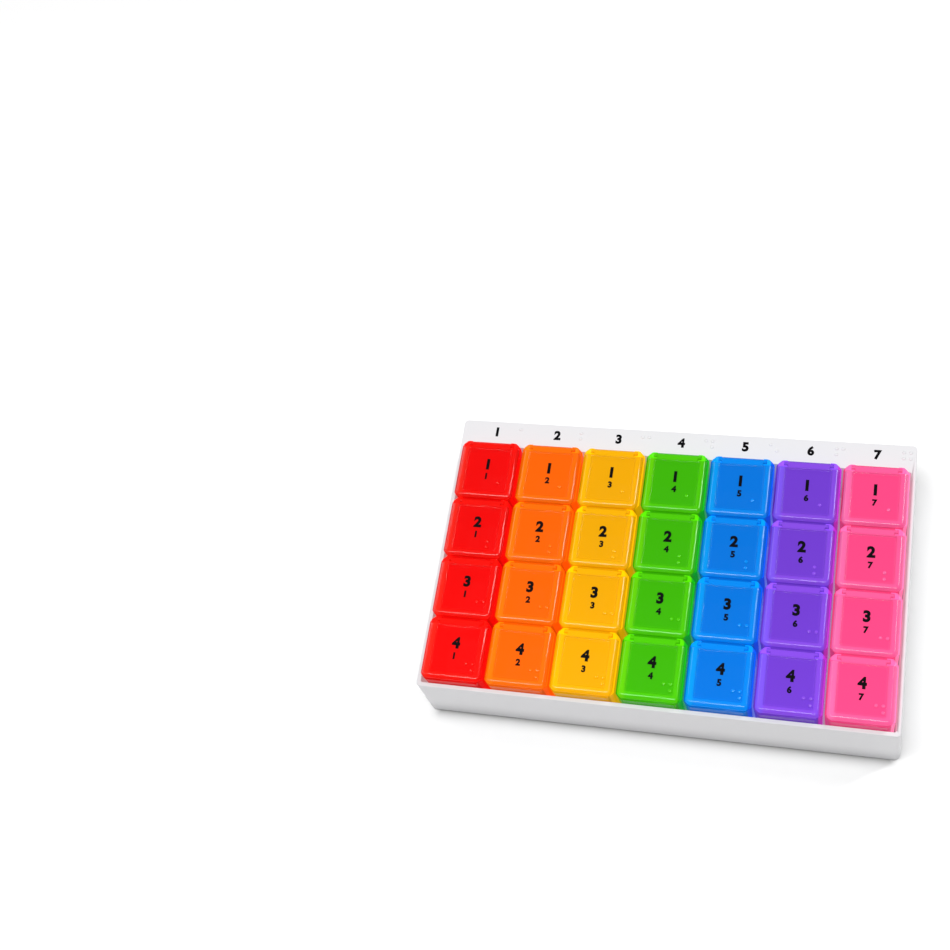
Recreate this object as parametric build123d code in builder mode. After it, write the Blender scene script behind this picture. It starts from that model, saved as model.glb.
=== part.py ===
"""Weekly pill box: a white tray that holds seven lift-out day boxes, each with four lidded cups.

Millimetres, +Z up. The origin is on the table, under the middle of the tray.
+X runs from the first day to the last, and +Y from the bedtime cups to the label ledge.
"""

from build123d import *
from math import atan, degrees, sqrt
import os

# Days and doses
day_names = ["sunday", "monday", "tuesday", "wednesday", "thursday", "friday", "saturday"]
dose_names = ["morning", "noon", "evening", "bedtime"]
day_pitch = 25.0
dose_pitch = 25.0

# Tray
tray_wall = 1.6
tray_floor = 2.0
tray_height = 30.4
tray_flare = 1.0
tray_corner = 1.6
pocket_corner = 0.8
tray_side_gap = 0.6
tray_end_gap = 0.2
tray_edge_round = 0.5
ledge_depth = 11.2
ledge_skin = 1.8
ledge_rib = 1.2
guide_width = 0.8
guide_height = 5.0
guide_end_gap = 4.0

# Day box
box_height = 32.3
box_gap = 0.6
box_end_reach = 0.2
box_draft = 0.4
box_corner = 2.2
cup_wall = 1.3
cup_gap = 2.0
cup_floor = 1.4
cup_corner = 1.6
notch_depth = 2.2

# Lid
lid_thickness = 1.6
lid_seat_gap = 0.1
lid_gap = 0.7
lid_side_inset = 0.6
lid_corner = 2.4
lid_bevel = 1.0
panel_depth = 0.3
panel_slope = 45
border_front = 2.6
border_side = 2.8
border_rear = 3.0
ring_gap = 0.4
ring_wall = 1.0
ring_depth = 2.0
catch_length = 10.0
catch_height = 0.7
catch_reach = 0.2

# Hinge
tongue_width = 15.6
rod_sides = 12
rod_reach = 1.2
rod_clearance = 0.07
rod_end_gap = 0.2
clip_wall = 0.45
clip_corner = 1.4
clip_grip = 0.4
clip_gap = 0.15
clip_rear_gap = 0.15
rail_depth = 3.0

# Sizes worked out from those above
day_count = len(day_names)
dose_count = len(dose_names)
box_width = day_pitch - box_gap
box_length = dose_pitch * dose_count + 2 * box_end_reach
box_top = tray_floor + box_height
lid_bottom = box_top + lid_seat_gap
lid_top = lid_bottom + lid_thickness
lid_width = box_width - 2 * lid_side_inset

pocket_width = (day_count - 1) * day_pitch + box_width + 2 * tray_side_gap
pocket_length = box_length + 2 * tray_end_gap
tray_width = pocket_width + 2 * tray_wall
tray_length = tray_wall + pocket_length + ledge_depth
pocket_y = -tray_length / 2 + tray_wall + pocket_length / 2
ledge_front_y = pocket_y + pocket_length / 2

# The hinge, the lid and the cup lie in one cell of the box, with the cell's middle at 0, 0
# Small flats stand in for the rod's roundness, one of them level with the top of the lid
rod_radius = lid_thickness / 2
socket_radius = rod_radius + rod_clearance
flat_up = 180 / rod_sides
clip_rear_y = dose_pitch / 2 - clip_rear_gap
clip_front_y = clip_rear_y - 2 * (clip_wall + socket_radius)
clip_inner_x = tongue_width / 2 + clip_gap
hinge_y = clip_rear_y - clip_wall - socket_radius
hinge_z = lid_top - rod_radius
clip_top = hinge_z + clip_grip
clip_bevel = lid_bevel - (lid_top - clip_top)
lid_front_y = -dose_pitch / 2 + lid_gap / 2
plate_rear_y = clip_front_y - clip_gap
mouth_width = box_width - 2 * cup_wall
mouth_front_y = -(dose_pitch - cup_gap) / 2
mouth_rear_y = clip_front_y
rail_bottom = box_top - rail_depth

day_xs = [(i - (day_count - 1) / 2) * day_pitch for i in range(day_count)]
dose_ys = [pocket_y + ((dose_count - 1) / 2 - i) * dose_pitch for i in range(dose_count)]
between_days = [x + day_pitch / 2 for x in day_xs[:-1]]
cup_ys = [y - pocket_y for y in dose_ys]
between_cups = [y - dose_pitch / 2 for y in cup_ys[:-1]]

os.makedirs("parts", exist_ok=True)

# Tray: a flared outside, a straight pocket for the boxes and a label ledge that is open below
with BuildPart() as tray:
    with BuildSketch(Plane.XY):
        RectangleRounded(tray_width + 2 * tray_flare, tray_length + 2 * tray_flare, tray_corner + tray_flare)
    with BuildSketch(Plane.XY.offset(tray_height)):
        RectangleRounded(tray_width, tray_length, tray_corner)
    loft(ruled=True)
    rim_edges = tray.faces().sort_by(Axis.Z)[-1].edges()
    fillet(rim_edges, tray_edge_round)
    with BuildSketch(Plane.XY.offset(tray_floor)):
        with Locations((0, pocket_y)):
            RectangleRounded(pocket_width, pocket_length, pocket_corner)
    extrude(amount=tray_height - tray_floor, mode=Mode.SUBTRACT)
    hollow_front_y = ledge_front_y + tray_wall
    hollow_rear_y = tray_length / 2 - tray_wall
    with BuildSketch(Plane.XY):
        for x in day_xs:
            with Locations((x, (hollow_front_y + hollow_rear_y) / 2)):
                Rectangle(day_pitch - ledge_rib, hollow_rear_y - hollow_front_y)
    extrude(amount=tray_height - ledge_skin, mode=Mode.SUBTRACT)
    with BuildSketch(Plane.XY.offset(tray_floor)):
        for x in between_days:
            with Locations((x, pocket_y)):
                Rectangle(guide_width, pocket_length - 2 * guide_end_gap)
    extrude(amount=guide_height)
tray.part.label = "tray"
export_step(tray.part, "parts/tray.step")

# The form that all seven day boxes share: four cups in a row, with a notch in each side between two of them
with BuildPart() as box_form:
    with BuildSketch(Plane.XY.offset(box_top)) as outline:
        Rectangle(box_width, box_length)
        chamfer(outline.vertices(), box_corner)
        with Locations(*[(side * box_width / 2, y) for side in (-1, 1) for y in between_cups]):
            RegularPolygon(notch_depth, 4, mode=Mode.SUBTRACT)
    extrude(amount=-box_height, taper=degrees(atan(box_draft / box_height)))

    # Two hinge clips stand on the rim behind each cup, with the bevel of the lid carried on along them
    with BuildSketch(Plane.XY.offset(box_top)) as clips:
        for y in cup_ys:
            with Locations((0, y + (clip_front_y + clip_rear_y) / 2)):
                Rectangle(lid_width, clip_rear_y - clip_front_y)
        rear_corners = [v for v in clips.vertices() if min(abs(v.Y - y - clip_rear_y) for y in cup_ys) < clip_gap]
        chamfer(rear_corners, clip_corner)
        for y in cup_ys:
            with Locations((0, y + (clip_front_y + clip_rear_y) / 2)):
                Rectangle(2 * clip_inner_x, clip_rear_y - clip_front_y, mode=Mode.SUBTRACT)
    extrude(amount=clip_top - box_top)
    clip_edges = box_form.edges().group_by(Axis.Z)[-1]
    chamfer([e for e in clip_edges if abs(e.center().X) > lid_width / 2 - clip_corner], clip_bevel)

    # The mouth of each cup is shorter than the cup, so that a rail is left under its clips
    with BuildSketch(Plane.XY.offset(tray_floor + cup_floor)) as cups:
        for y in cup_ys:
            with Locations((0, y)):
                Rectangle(mouth_width, dose_pitch - cup_gap)
        chamfer(cups.vertices(), cup_corner)
    extrude(amount=rail_bottom - tray_floor - cup_floor, mode=Mode.SUBTRACT)
    with BuildSketch(Plane.XY.offset(rail_bottom)) as mouths:
        for y in cup_ys:
            with Locations((0, y + (mouth_front_y + mouth_rear_y) / 2)):
                Rectangle(mouth_width, mouth_rear_y - mouth_front_y)
        chamfer(mouths.vertices(), cup_corner)
    extrude(amount=rail_depth, mode=Mode.SUBTRACT)

    # Sockets that are open at the top, so that the ends of a lid's rod snap into the clips
    with BuildSketch(Plane.YZ):
        with Locations(*[(y + hinge_y, hinge_z) for y in cup_ys]):
            RegularPolygon(socket_radius, rod_sides, major_radius=False, rotation=flat_up)
    extrude(amount=tongue_width / 2 + rod_reach + rod_end_gap, both=True, mode=Mode.SUBTRACT)

# The form that all twenty-eight lids share: a bevelled plate, a sealing ring and a hinge rod
with BuildPart() as lid_form:
    with BuildSketch(Plane.XY.offset(lid_bottom)) as plate:
        with Locations((0, (plate_rear_y + lid_front_y) / 2)):
            Rectangle(lid_width, plate_rear_y - lid_front_y)
        fillet(plate.vertices().group_by(Axis.Y)[0], lid_corner)
        with Locations((0, (plate_rear_y + hinge_y) / 2)):
            Rectangle(tongue_width, hinge_y - plate_rear_y)
    extrude(amount=lid_thickness)
    bevel_edges = lid_form.faces().sort_by(Axis.Z)[-1].edges()
    chamfer(bevel_edges.filter_by_position(Axis.Y, lid_front_y - 1, plate_rear_y - 1), lid_bevel)

    # Panel let into the top, inside the raised border
    panel_front_y = lid_front_y + border_front
    panel_rear_y = dose_pitch / 2 - lid_gap / 2 - border_rear
    with BuildSketch(Plane.XY.offset(lid_top)):
        with Locations((0, (panel_front_y + panel_rear_y) / 2)):
            Rectangle(lid_width - 2 * border_side, panel_rear_y - panel_front_y)
    extrude(amount=-panel_depth, taper=panel_slope, mode=Mode.SUBTRACT)

    # Sealing ring that goes into the cup's mouth, with a low catch at the front
    ring_front_y = mouth_front_y + ring_gap
    ring_rear_y = mouth_rear_y - ring_gap
    ring_width = mouth_width - 2 * ring_gap
    ring_length = ring_rear_y - ring_front_y
    ring_corner = cup_corner - (2 - sqrt(2)) * ring_gap
    with BuildSketch(Plane.XY.offset(lid_bottom)) as ring:
        with Locations((0, (ring_front_y + ring_rear_y) / 2)):
            Rectangle(ring_width, ring_length)
            chamfer(ring.vertices(), ring_corner)
            Rectangle(ring_width - 2 * ring_wall, ring_length - 2 * ring_wall, mode=Mode.SUBTRACT)
    extrude(amount=-ring_depth)
    with Locations((0, ring_front_y, lid_bottom - ring_depth / 2)):
        Box(catch_length, 2 * catch_reach, catch_height)

    # Hinge rod, as thick as the lid, whose ends stand out past the tongue
    with BuildSketch(Plane.YZ):
        with Locations((hinge_y, hinge_z)):
            RegularPolygon(rod_radius, rod_sides, major_radius=False, rotation=flat_up)
    extrude(amount=tongue_width / 2 + rod_reach, both=True)

# One box for each day, and its four lids
for day, x in zip(day_names, day_xs):
    with BuildPart() as day_box:
        with Locations((x, pocket_y, 0)):
            add(box_form.part)
    day_box.part.label = f"{day}_box"
    export_step(day_box.part, f"parts/{day}_box.step")
    for dose, y in zip(dose_names, dose_ys):
        with BuildPart() as lid:
            with Locations((x, y, 0)):
                add(lid_form.part)
        lid.part.label = f"{day}_{dose}_lid"
        export_step(lid.part, f"parts/{day}_{dose}_lid.step")

print("tray", round(tray_width, 2), "x", round(tray_length, 2), "height with lids", round(lid_top, 2))
print("hinge at", round(hinge_y, 3), round(hinge_z, 3), "in each cell")
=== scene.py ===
import bmesh
import bpy
from math import radians
from mathutils import Matrix, Quaternion, Vector


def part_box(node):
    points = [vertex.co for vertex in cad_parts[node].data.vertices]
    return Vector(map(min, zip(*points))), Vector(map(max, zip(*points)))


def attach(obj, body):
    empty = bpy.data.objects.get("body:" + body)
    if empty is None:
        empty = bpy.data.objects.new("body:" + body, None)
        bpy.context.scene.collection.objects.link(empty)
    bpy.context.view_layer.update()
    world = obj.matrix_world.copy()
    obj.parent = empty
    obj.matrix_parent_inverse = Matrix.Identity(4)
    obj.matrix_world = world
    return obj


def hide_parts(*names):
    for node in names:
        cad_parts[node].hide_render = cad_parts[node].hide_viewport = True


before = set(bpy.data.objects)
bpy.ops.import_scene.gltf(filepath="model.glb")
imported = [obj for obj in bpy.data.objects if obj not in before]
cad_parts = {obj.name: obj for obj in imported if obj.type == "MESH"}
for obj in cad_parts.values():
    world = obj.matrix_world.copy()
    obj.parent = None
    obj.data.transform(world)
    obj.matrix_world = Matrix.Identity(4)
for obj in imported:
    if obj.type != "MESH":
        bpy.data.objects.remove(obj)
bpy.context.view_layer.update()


# Camera
# It looks down at the box from the front right, turned a little about its own line of sight,
# with the box to the right of the picture's middle.
mm = 0.001
camera_place = Vector((74.9, -198.7, 564.5)) * mm
camera_target = Vector((-79.5, 29.9, 36.0)) * mm
camera_roll = radians(27.0)
camera_lens = 56.57
camera_data = bpy.data.cameras.new("camera")
camera_data.sensor_width = 36
camera_data.lens = camera_lens
camera_data.dof.use_dof = False
camera = bpy.data.objects.new("camera", camera_data)
sight = camera_target - camera_place
camera.rotation_mode = "QUATERNION"
camera.rotation_quaternion = sight.to_track_quat("-Z", "Y") @ Quaternion((0, 0, 1), -camera_roll)
camera.location = camera_place
bpy.context.scene.collection.objects.link(camera)
bpy.context.scene.camera = camera


# Table and light
# A white table top with four soft boxes over it. None of them stands where the flat lids would mirror
# it: the one above the front draws the thin light line along the front edge of each lid, and the one at
# the right rear draws the line along its right edge.
table_reach = 4
lit_point = Vector((0, 0, 0.02))
sky_strength = 0.12
shade_end_inset = 4 * mm
shade_depth = 8 * mm


def soft_box(name, place, size, power):
    """A rectangular lamp, its width and height in metres, turned to the middle of the tray."""
    data = bpy.data.lights.new(name, "AREA")
    data.shape = "RECTANGLE"
    data.size, data.size_y = size
    data.energy = power
    light = bpy.data.objects.new(name, data)
    light.location = place
    light.rotation_mode = "QUATERNION"
    light.rotation_quaternion = (lit_point - Vector(place)).to_track_quat("-Z", "Y")
    bpy.context.scene.collection.objects.link(light)


def plain_material(name, colour, roughness):
    """An opaque material of one colour."""
    material = bpy.data.materials.new(name)
    material.use_nodes = True
    shader = material.node_tree.nodes["Principled BSDF"]
    shader.inputs["Base Color"].default_value = (*colour, 1)
    shader.inputs["Roughness"].default_value = roughness
    return material


table_shape = bmesh.new()
bmesh.ops.create_grid(table_shape, x_segments=1, y_segments=1, size=table_reach)
table_mesh = bpy.data.meshes.new("table")
table_shape.to_mesh(table_mesh)
table_shape.free()
table = bpy.data.objects.new("table", table_mesh)
bpy.context.scene.collection.objects.link(table)
table_white = plain_material("table_white", (0.92, 0.92, 0.92), 0.6)
table_mesh.materials.append(table_white)


def away_from(material, low, high):
    """How far a point lies from an upright box, seen from above, as a socket of the material."""
    nodes, links = material.node_tree.nodes, material.node_tree.links
    last = nodes.new("ShaderNodeTexCoord").outputs["Object"]
    middle = (Vector(low) + Vector(high)) / 2
    half = (Vector(high) - Vector(low)) / 2
    steps = (("SUBTRACT", middle), ("ABSOLUTE", None), ("SUBTRACT", half), ("MAXIMUM", Vector((0, 0))))
    for operation, value in steps:
        step = nodes.new("ShaderNodeVectorMath")
        step.operation = operation
        links.new(last, step.inputs[0])
        if value is not None:
            step.inputs[1].default_value = (value.x, value.y, 0)
        last = step.outputs["Vector"]
    level = nodes.new("ShaderNodeVectorMath")
    level.operation = "MULTIPLY"
    level.inputs[1].default_value = (1, 1, 0)
    links.new(last, level.inputs[0])
    away = nodes.new("ShaderNodeVectorMath")
    away.operation = "LENGTH"
    links.new(level.outputs["Vector"], away.inputs[0])
    return away.outputs["Value"]


def share_near(material, distance, reach):
    """One at a distance of nothing, and zero from reach on."""
    near = material.node_tree.nodes.new("ShaderNodeMapRange")
    near.inputs["From Max"].default_value = reach
    near.inputs["To Min"].default_value = 1
    near.inputs["To Max"].default_value = 0
    material.node_tree.links.new(distance, near.inputs["Value"])
    return near.outputs["Result"]


def shade_in_front(material, low, high, reach, steepness, darkest):
    """Grey the table along the front of the tray's foot, for the thin dark shadow under it."""
    nodes, links = material.node_tree.nodes, material.node_tree.links
    strip_low = (low[0] + shade_end_inset, low[1])
    strip_high = (high[0] - shade_end_inset, low[1] + shade_depth)
    near = share_near(material, away_from(material, strip_low, strip_high), reach)
    fade = nodes.new("ShaderNodeMath")
    fade.operation = "POWER"
    fade.inputs[1].default_value = steepness
    links.new(near, fade.inputs[0])
    shade = nodes.new("ShaderNodeMix")
    shade.data_type = "RGBA"
    shade.inputs["A"].default_value = nodes["Principled BSDF"].inputs["Base Color"].default_value
    shade.inputs["B"].default_value = (darkest, darkest, darkest, 1)
    links.new(fade.outputs["Value"], shade.inputs["Factor"])
    links.new(shade.outputs["Result"], nodes["Principled BSDF"].inputs["Base Color"])


tray_low, tray_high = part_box("tray")
shade_in_front(table_white, tray_low, tray_high, reach=8 * mm, steepness=3, darkest=0.38)

soft_box("above_front", place=(-0.05, -0.18, 1.05), size=(0.7, 0.35), power=9.0)
soft_box("rear_left", place=(-0.80, 0.55, 0.62), size=(0.6, 0.6), power=2.5)
soft_box("rear_right", place=(0.66, 0.42, 0.80), size=(0.18, 0.65), power=4.8)
soft_box("left", place=(-1.10, -0.30, 0.70), size=(0.8, 0.8), power=2.0)
world = bpy.data.worlds.new("studio")
world.use_nodes = True
sky = world.node_tree.nodes["Background"]
sky.inputs["Color"].default_value = (1, 1, 1, 1)
sky.inputs["Strength"].default_value = sky_strength
bpy.context.scene.world = world
bpy.context.scene.view_settings.view_transform = "Standard"


# Tray
# One moulding of white plastic, with a satin face: it flares a little towards the table, and has
# a ledge along the rear that carries the numbers of the days.
merge_distance = 0.001 * mm
flat_angle = radians(1)
corner_angle = radians(25)
smooth_angle = radians(40)

# The foot's outside edges lie no higher, and no further in, than this
foot_round = 1.5 * mm
foot_edge_height = 0.1 * mm
foot_edge_width = 1 * mm

# The painted glow rises between these two heights, which paints the tray's wall darker towards the foot,
# and is full all over the pocket, where it paints light into the gaps round the boxes
painted_glow_start = -4 * mm
painted_glow_full = 15 * mm
pocket_blur = 0.5 * mm


def add_grain(material, grain_size, depth, roughness_low, roughness_high):
    """The faint waviness and the uneven gloss that a moulded face has."""
    nodes, links = material.node_tree.nodes, material.node_tree.links
    shader = nodes["Principled BSDF"]
    place = nodes.new("ShaderNodeTexCoord")
    grain = nodes.new("ShaderNodeTexNoise")
    grain.inputs["Scale"].default_value = 1 / grain_size
    grain.inputs["Detail"].default_value = 4
    links.new(place.outputs["Object"], grain.inputs["Vector"])
    gloss = nodes.new("ShaderNodeMapRange")
    gloss.inputs["To Min"].default_value = roughness_low
    gloss.inputs["To Max"].default_value = roughness_high
    links.new(grain.outputs["Fac"], gloss.inputs["Value"])
    links.new(gloss.outputs["Result"], shader.inputs["Roughness"])
    bump = nodes.new("ShaderNodeBump")
    bump.inputs["Distance"].default_value = depth
    bump.inputs["Strength"].default_value = 0.5
    links.new(grain.outputs["Fac"], bump.inputs["Height"])
    links.new(bump.outputs["Normal"], shader.inputs["Normal"])


def rounded_copy(node, roundings):
    """The node's own shape as one closed skin, with chosen edges rounded, each kind by its own amount."""
    shape = bmesh.new()
    shape.from_mesh(node.data)
    bmesh.ops.remove_doubles(shape, verts=shape.verts, dist=merge_distance)
    bmesh.ops.dissolve_limit(shape, angle_limit=flat_angle, verts=shape.verts, edges=shape.edges)
    for amount, chosen in roundings:
        corners = [edge for edge in shape.edges if edge.calc_face_angle() > corner_angle and chosen(edge)]
        bmesh.ops.bevel(shape, geom=corners, offset=amount, offset_type="OFFSET", segments=2, profile=0.5,
                        affect="EDGES", material=-1, clamp_overlap=False)
    return shape


def new_piece(name, mesh, material, body):
    """A piece from a finished mesh, which moves with a body."""
    mesh.materials.clear()
    mesh.materials.append(material)
    piece = bpy.data.objects.new(name, mesh)
    bpy.context.scene.collection.objects.link(piece)
    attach(piece, body)
    return piece


def moved_piece(name, shape, shift, body, replaced, material):
    """A piece from a copy of shape, moved to its own place, that stands for a node."""
    mesh = bpy.data.meshes.new(name)
    shape.to_mesh(mesh)
    mesh.transform(Matrix.Translation(shift))
    mesh.shade_smooth()
    mesh.set_sharp_from_angle(angle=smooth_angle)
    piece = new_piece(name, mesh, material, body)
    normals = piece.modifiers.new("even_shading", "WEIGHTED_NORMAL")
    normals.keep_sharp = True
    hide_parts(replaced)


def fade_glow(material, axis, dark_end, bright_end, painted_glow_box=None):
    """Let the painted glow rise from nothing at one place along an axis to its full strength at another.

    It has its full strength too inside the upright box given last, seen from above.
    """
    nodes, links = material.node_tree.nodes, material.node_tree.links
    painted_glow = nodes["Principled BSDF"].inputs["Emission Color"]
    place = nodes.new("ShaderNodeTexCoord")
    split = nodes.new("ShaderNodeSeparateXYZ")
    links.new(place.outputs["Object"], split.inputs["Vector"])
    share = nodes.new("ShaderNodeMapRange")
    share.interpolation_type = "SMOOTHSTEP"
    share.inputs["From Min"].default_value = min(dark_end, bright_end)
    share.inputs["From Max"].default_value = max(dark_end, bright_end)
    share.inputs["To Min"].default_value = 0 if dark_end < bright_end else 1
    share.inputs["To Max"].default_value = 1 if dark_end < bright_end else 0
    links.new(split.outputs[axis], share.inputs["Value"])
    painted_lit = share.outputs["Result"]
    if painted_glow_box:
        larger = nodes.new("ShaderNodeMath")
        larger.operation = "MAXIMUM"
        links.new(painted_lit, larger.inputs[0])
        links.new(share_near(material, away_from(material, *painted_glow_box), pocket_blur), larger.inputs[1])
        painted_lit = larger.outputs["Value"]
    fade = nodes.new("ShaderNodeMix")
    fade.data_type = "RGBA"
    fade.inputs["A"].default_value = (0, 0, 0, 1)
    fade.inputs["B"].default_value = painted_glow.default_value
    if painted_glow.is_linked:
        links.new(painted_glow.links[0].from_socket, fade.inputs["B"])
    links.new(painted_lit, fade.inputs["Factor"])
    links.new(fade.outputs["Result"], painted_glow)


tray_white = plain_material("tray_white", (0.52, 0.52, 0.535), 0.4)
tray_shader = tray_white.node_tree.nodes["Principled BSDF"]
# The emission is a painted glow that stands in for light passing through the white plastic: it paints the
# wall darker towards the foot and paints light into the pocket round the boxes
tray_shader.inputs["Emission Color"].default_value = (1, 0.99, 1, 1)
tray_shader.inputs["Emission Strength"].default_value = 0.19
pocket_low = Vector(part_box("sunday_box")[0][:2])
pocket_high = Vector(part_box("saturday_box")[1][:2])
fade_glow(tray_white, "Z", painted_glow_start, painted_glow_full, painted_glow_box=(pocket_low, pocket_high))
add_grain(tray_white, grain_size=1.5 * mm, depth=0.01 * mm, roughness_low=0.34, roughness_high=0.46)


def on_foot(edge):
    """Whether an edge runs round the outside of the tray's foot."""
    middle = (edge.verts[0].co + edge.verts[1].co) / 2
    from_side = min(middle.x - tray_low[0], tray_high[0] - middle.x)
    from_end = min(middle.y - tray_low[1], tray_high[1] - middle.y)
    low_down = max(v.co.z for v in edge.verts) < foot_edge_height
    return low_down and min(from_side, from_end) < foot_edge_width


tray_skin = rounded_copy(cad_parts["tray"], [(foot_round, on_foot)])
moved_piece("tray_skin", tray_skin, Vector((0, 0, 0)), "tray", "tray", tray_white)
tray_skin.free()


# Day numbers on the ledge
# Plain black numbers from 1 to 7, printed in a row on the ledge, one behind each day box, with the same
# number in raised dots at its right. The dots are moulded on the ledge.
days = ["sunday", "monday", "tuesday", "wednesday", "thursday", "friday", "saturday"]
ink_thickness = 0.03 * mm
extra_weight = 0.055
curve_steps = 4
ink = plain_material("black_ink", (0.004, 0.004, 0.005), 0.45)
ink.node_tree.nodes["Principled BSDF"].inputs["Specular IOR Level"].default_value = 0.02
add_grain(ink, grain_size=0.4 * mm, depth=0.004 * mm, roughness_low=0.38, roughness_high=0.55)


def printed_number(name, number, cap_height, centre):
    """A number as a thin layer of ink that lies on centre, drawn heavier than the plain face."""
    face = bpy.data.curves.new(name, "FONT")
    face.body = str(number)
    face.offset = extra_weight
    face.extrude = 0.01
    face.resolution_u = curve_steps
    outline = bpy.data.objects.new(name, face)
    bpy.context.scene.collection.objects.link(outline)
    layer = bpy.data.meshes.new_from_object(outline)
    bpy.data.objects.remove(outline)
    low = Vector([min(v.co[i] for v in layer.vertices) for i in range(3)])
    high = Vector([max(v.co[i] for v in layer.vertices) for i in range(3)])
    scale = cap_height / (high.y - low.y)
    layer.transform(Matrix.Translation(-(low + high) / 2))
    layer.transform(Matrix.Diagonal((scale, scale, ink_thickness / (high.z - low.z), 1)))
    layer.transform(Matrix.Translation(Vector(centre) + Vector((0, 0, ink_thickness / 2))))
    return layer


# The dots of a number in a raised-dot cell, as column and row from the cell's upper left
dot_cells = {1: [(0, 0)], 2: [(0, 0), (0, 1)], 3: [(0, 0), (1, 0)], 4: [(0, 0), (1, 0), (1, 1)],
             5: [(0, 0), (1, 1)], 6: [(0, 0), (1, 0), (0, 1)], 7: [(0, 0), (1, 0), (0, 1), (1, 1)]}
dot_spacing = 2.5 * mm
dot_radius = 0.75 * mm
dot_height = 0.4 * mm
dot_smooth_angle = radians(50)


def raised_dots(name, number, corner):
    """Low domes for one number, with the cell's upper left dot at corner."""
    shape = bmesh.new()
    for column, row in dot_cells[number]:
        dome = bmesh.ops.create_uvsphere(shape, u_segments=12, v_segments=8, radius=1)["verts"]
        bmesh.ops.scale(shape, vec=(dot_radius, dot_radius, dot_height), verts=dome)
        place = Vector(corner) + Vector((column * dot_spacing, -row * dot_spacing, 0))
        bmesh.ops.translate(shape, vec=place, verts=dome)
    whole = shape.verts[:] + shape.edges[:] + shape.faces[:]
    cut = bmesh.ops.bisect_plane(shape, geom=whole, dist=merge_distance, plane_co=corner,
                                 plane_no=(0, 0, 1), clear_inner=True)
    rims = [edge for edge in cut["geom_cut"] if isinstance(edge, bmesh.types.BMEdge)]
    bmesh.ops.edgeloop_fill(shape, edges=rims)
    bmesh.ops.recalc_face_normals(shape, faces=shape.faces)
    mesh = bpy.data.meshes.new(name)
    shape.to_mesh(mesh)
    shape.free()
    mesh.shade_smooth()
    mesh.set_sharp_from_angle(angle=dot_smooth_angle)
    return mesh


ledge_number_y = 52.1 * mm
ledge_number_height = 4.1 * mm
ledge_dots_right = 9.6 * mm
ledge_dots_up = 1.6 * mm
ledge_top = tray_high[2]
for number, day in enumerate(days, start=1):
    low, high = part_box(f"{day}_box")
    day_x = (low[0] + high[0]) / 2
    centre = (day_x, ledge_number_y, ledge_top)
    layer = printed_number(f"{day}_ledge_number", number, ledge_number_height, centre)
    new_piece(f"{day}_ledge_number", layer, ink, "tray")
    corner = (day_x + ledge_dots_right, ledge_number_y + ledge_dots_up, ledge_top)
    dots = raised_dots(f"{day}_ledge_dots", number, corner)
    new_piece(f"{day}_ledge_dots", dots, tray_white, "tray")


# Day boxes
# Seven boxes of see-through plastic, each in its day's colour and each one moulding with four cups
# and their hinge clips. The edges are rounded a little, as a mould leaves them.
pitch = 25 * mm
box_low, box_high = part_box("sunday_box")
box_middle = (box_low[0] + box_high[0]) / 2
row_middle = (box_low[1] + box_high[1]) / 2 + pitch / 2

# Below the rim the plastic is painted darker, as painted shade between the lids; above the rim it has the
# lids' lighter border tone, painted light, and beyond the outer side on the right the painted side tone
rim_top = 34.35 * mm
rim_blur = 0.02 * mm
outer_side = 10.8 * mm
side_blur = 0.25 * mm
shade_between = 0.6

# How far the edges are rounded, and which edges these are
box_corner_round = 0.6 * mm
box_edge_round = 0.2 * mm
shortest_rounded = 1 * mm
socket_depth = 0.2 * mm
corner_from_middle = 9.5 * mm
upright_height = 20 * mm

# For each day, the colour of the panels in its lids, painted deeper for the shade of the hollow cup under
# them, of the border round them, painted lighter as painted light, of the border's left side, painted
# lighter still as a painted highlight where the light comes in, and of the side walls and the lids' right
# bevels, a painted tone of shade and of the glow of light inside them
day_colours = {
    "sunday": ((0.86, 0.002, 0.002), (0.91, 0.006, 0.003), (0.92, 0.020, 0.010), (0.74, 0.002, 0.002)),
    "monday": ((0.94, 0.135, 0.001), (0.94, 0.170, 0.002), (0.95, 0.210, 0.002), (0.90, 0.105, 0.001)),
    "tuesday": ((0.85, 0.405, 0.001), (0.93, 0.460, 0.001), (0.95, 0.510, 0.001), (0.78, 0.400, 0.001)),
    "wednesday": ((0.048, 0.46, 0.001), (0.080, 0.60, 0.002), (0.140, 0.66, 0.002), (0.006, 0.38, 0.006)),
    "thursday": ((0.001, 0.18, 0.70), (0.001, 0.26, 0.86), (0.001, 0.34, 0.88), (0.002, 0.085, 0.65)),
    "friday": ((0.17, 0.048, 0.62), (0.25, 0.075, 0.77), (0.22, 0.100, 0.88), (0.40, 0.024, 0.48)),
    "saturday": ((0.93, 0.068, 0.24), (0.93, 0.120, 0.34), (0.93, 0.160, 0.42), (0.92, 0.180, 0.40)),
}


def tinted_plastic(name, colour, see_through, ior, painted_glow=0.0):
    """Glossy see-through plastic of one colour, with a painted glow, an emission that stands in for the
    light passing through it.
    """
    material = plain_material(name, colour, 0.2)
    shader = material.node_tree.nodes["Principled BSDF"]
    shader.inputs["Alpha"].default_value = 1 - see_through
    shader.inputs["IOR"].default_value = ior
    shader.inputs["Emission Color"].default_value = (*colour, 1)
    shader.inputs["Emission Strength"].default_value = painted_glow
    add_grain(material, grain_size=6 * mm, depth=0.005 * mm, roughness_low=0.07, roughness_high=0.15)
    return material


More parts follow.
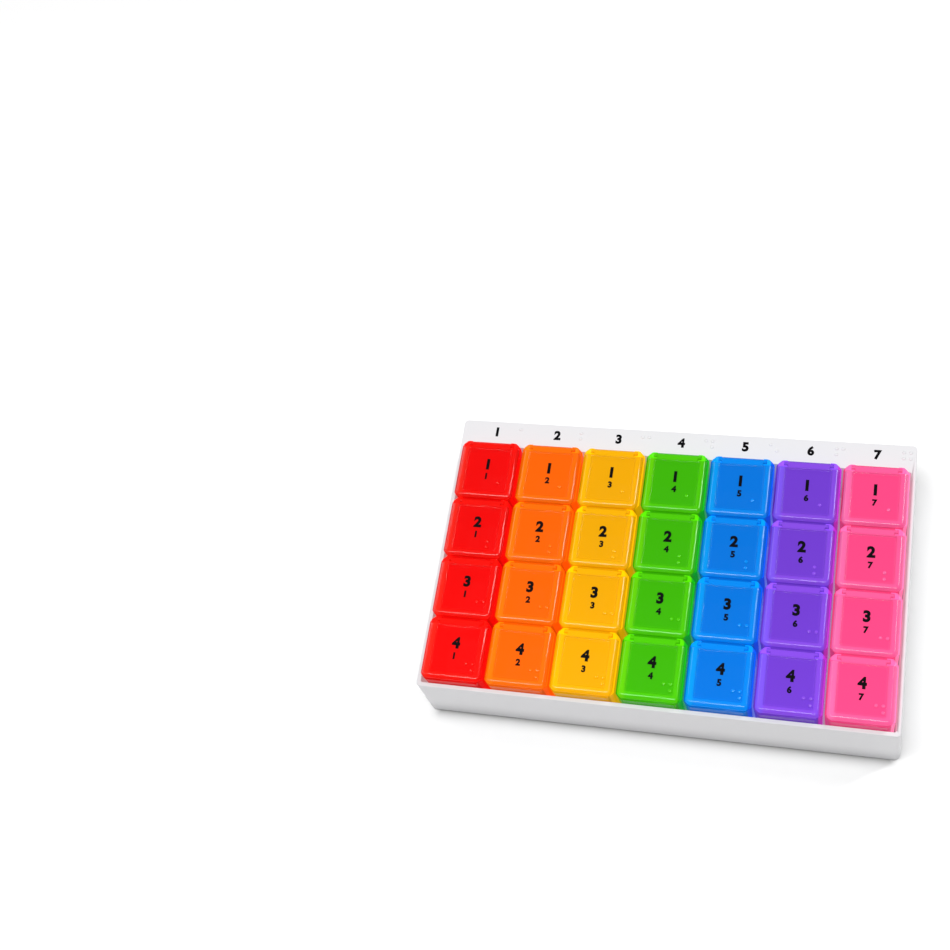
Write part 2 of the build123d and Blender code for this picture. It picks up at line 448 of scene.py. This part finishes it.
def tint_by_place(material, first, layers):
    """Lay colours over the first one, each beyond an edge along one axis of the cell under a lid.

    A layer is the axis, the edge's place, the width over which the colour comes in, its share and the
    colour. With a negative width it lies below the edge's place instead of above it.
    """
    nodes, links = material.node_tree.nodes, material.node_tree.links
    place = nodes.new("ShaderNodeTexCoord")
    split = nodes.new("ShaderNodeSeparateXYZ")
    links.new(place.outputs["Object"], split.inputs["Vector"])
    places = {"Z": split.outputs["Z"]}
    for axis, middle in (("X", 0), ("Y", row_middle)):
        cell = nodes.new("ShaderNodeMath")
        cell.operation = "WRAP"
        links.new(split.outputs[axis], cell.inputs[0])
        cell.inputs[1].default_value = middle + pitch / 2
        cell.inputs[2].default_value = middle - pitch / 2
        places[axis] = cell.outputs[0]
    tint = None
    for axis, edge, blur, share, colour in layers:
        beyond = nodes.new("ShaderNodeMapRange")
        beyond.interpolation_type = "SMOOTHSTEP"
        beyond.inputs["From Min"].default_value = edge - blur
        beyond.inputs["From Max"].default_value = edge + blur
        beyond.inputs["To Max"].default_value = share
        links.new(places[axis], beyond.inputs["Value"])
        layer = nodes.new("ShaderNodeMix")
        layer.data_type = "RGBA"
        layer.inputs["A"].default_value = (*first, 1)
        if tint:
            links.new(tint, layer.inputs["A"])
        layer.inputs["B"].default_value = (*colour, 1)
        links.new(beyond.outputs["Result"], layer.inputs["Factor"])
        tint = layer.outputs["Result"]
    links.new(tint, nodes["Principled BSDF"].inputs["Base Color"])
    links.new(tint, nodes["Principled BSDF"].inputs["Emission Color"])


def box_plastic(name, panel, border, side):
    """Tinted glowing plastic, painted darker between the lids as painted shade, painted lighter on the
    clips as painted light, and with the painted side tone on its right side.
    """
    material = tinted_plastic(name, panel, see_through=0.15, ior=1.12, painted_glow=0.5)
    between = [shade_between * channel for channel in panel]
    tint_by_place(material, between, [("Z", rim_top, rim_blur, 1, border),
                                      ("X", outer_side, side_blur, 1, side)])
    return material


def away_from_sockets(edge):
    """Whether an edge may be rounded without filling the corners in which a lid's rod turns."""
    below_sockets = max(v.co.z for v in edge.verts) < rim_top - socket_depth
    return edge.calc_length() > shortest_rounded and (edge.is_convex or below_sockets)


def on_upright_corner(edge):
    """Whether an edge is an upright corner on the outside of the box."""
    ends = [v.co for v in edge.verts]
    beside = abs((ends[0].x + ends[1].x) / 2 - box_middle)
    tall = abs(ends[0].z - ends[1].z) > upright_height
    return edge.is_convex and beside > corner_from_middle and tall


box_skin = rounded_copy(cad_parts["sunday_box"], [(box_corner_round, on_upright_corner),
                                                       (box_edge_round, away_from_sockets)])
for day, (panel, border, _, side) in day_colours.items():
    shift = Vector(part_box(f"{day}_box")[0]) - Vector(box_low)
    moved_piece(f"{day}_box_skin", box_skin, shift, f"{day}_box", f"{day}_box",
                box_plastic(f"{day}_box_plastic", panel, border, side))
box_skin.free()


# Lids
# Each lid is one moulding with a bevel at the front and sides, a shallow panel in its top, a sealing
# ring and the hinge rod. Its border lies on the cup's wall and is painted lighter, as painted light, than
# the panel over the hollow cup, which is painted deeper as painted shade. Two numbers are printed in the
# panel, with raised dots at their lower right.
doses = ["morning", "noon", "evening", "bedtime"]
lid_low, lid_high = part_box("sunday_morning_lid")
panel_drop = 0.3 * mm

# How far from the middle of the cell the border's painted lighter tone starts in front, behind and at the
# sides, and the share of the painted side tone on the right bevel
border_front = 9.55 * mm
border_rear = 9.15 * mm
border_side = 8.8 * mm
border_blur = 1.0 * mm
side_share = 0.6

# The painted glow, painted light on the lids, is nothing in the rear row of lids and rises towards the
# front
painted_glow_rear = row_middle + 0.5 * pitch
painted_glow_front = row_middle - 4 * pitch

# How far the edges of the plate's top, of the panel and of all else are rounded, and which these are
top_round = 0.45 * mm
panel_edge_round = 0.05 * mm
lid_edge_round = 0.20 * mm
plate_rear = lid_low[1] + 21.71 * mm
plate_margin = 0.1 * mm
panel_inset = 2 * mm
panel_reach = 1.1 * panel_drop
top_depth = 0.05 * mm
shortest_lid_edge = 0.35 * mm


def lid_plastic(name, panel, border, painted_lit, side):
    """Tinted plastic with painted light and shade: deepest in the panel as painted shade, lighter on the
    border and its left side as painted light, darker on the right bevel as painted shade, and with a
    painted glow.
    """
    material = tinted_plastic(name, panel, see_through=0.25, ior=1.45, painted_glow=0.2)
    tint_by_place(material, panel, [("Y", row_middle - border_front, -border_blur, 1, border),
                                    ("Y", row_middle + border_rear, border_blur, 1, border),
                                    ("X", border_side, border_blur, 1, border),
                                    ("X", -border_side, -border_blur, 1, painted_lit),
                                    ("X", outer_side, side_blur, side_share, side)])
    fade_glow(material, "Y", painted_glow_rear, painted_glow_front)
    return material


def on_panel(edge):
    """Whether an edge lies round the panel, inside the border."""
    middle = (edge.verts[0].co + edge.verts[1].co) / 2
    return (middle.z > lid_high[2] - panel_reach
            and lid_low[1] + panel_inset < middle.y < plate_rear - plate_margin
            and lid_low[0] + panel_inset < middle.x < lid_high[0] - panel_inset)


def on_plate(edge):
    """Whether an edge belongs to the plate or the ring, in front of the plate's rear face."""
    ends = [v.co.y for v in edge.verts]
    in_front = min(ends) < plate_rear - plate_margin and max(ends) < plate_rear + plate_margin
    return in_front and not on_panel(edge)


def on_plate_top(edge):
    """Whether an edge runs round the top of the plate."""
    return on_plate(edge) and min(v.co.z for v in edge.verts) > lid_high[2] - top_depth


def on_long_edge(edge):
    """Whether an edge of the plate or the ring is long enough to be rounded."""
    return on_plate(edge) and edge.calc_length() > shortest_lid_edge


lid_skin = rounded_copy(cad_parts["sunday_morning_lid"], [(top_round, on_plate_top),
                                                               (lid_edge_round, on_long_edge),
                                                               (panel_edge_round, on_panel)])

# The numbers and the dots are placed from a point in the panel, this far behind the lid's front edge
numbers_middle = 12.15 * mm
dose_height = 4.6 * mm
dose_up = 2.4 * mm
day_height = 2.7 * mm
day_down = 2.8 * mm
dots_right = 5.2 * mm
dots_down = 5.4 * mm
for day_number, (day, (panel, border, painted_lit, side)) in enumerate(day_colours.items(), start=1):
    plastic = lid_plastic(f"{day}_lid_plastic", panel, border, painted_lit, side)
    dot_plastic = tinted_plastic(f"{day}_dot_plastic", border, see_through=0.1, ior=1.35)
    for dose_number, dose in enumerate(doses, start=1):
        lid = f"{day}_{dose}_lid"
        low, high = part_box(lid)
        shift = Vector(low) - Vector(lid_low)
        moved_piece(f"{lid}_skin", lid_skin, shift, lid, lid, plastic)

        # The number of the dose, with the number of the day below it, and the dose again in raised dots
        cell_x = (low[0] + high[0]) / 2
        cell_y = low[1] + numbers_middle
        panel_top = high[2] - panel_drop
        dose_centre = (cell_x, cell_y + dose_up, panel_top)
        dose_layer = printed_number(f"{lid}_dose", dose_number, dose_height, dose_centre)
        new_piece(f"{lid}_dose", dose_layer, ink, lid)
        day_centre = (cell_x, cell_y - day_down, panel_top)
        day_layer = printed_number(f"{lid}_day", day_number, day_height, day_centre)
        new_piece(f"{lid}_day", day_layer, ink, lid)
        dots = raised_dots(f"{lid}_dots", dose_number, (cell_x + dots_right, cell_y - dots_down, panel_top))
        new_piece(f"{lid}_dots", dots, dot_plastic, lid)
lid_skin.free()
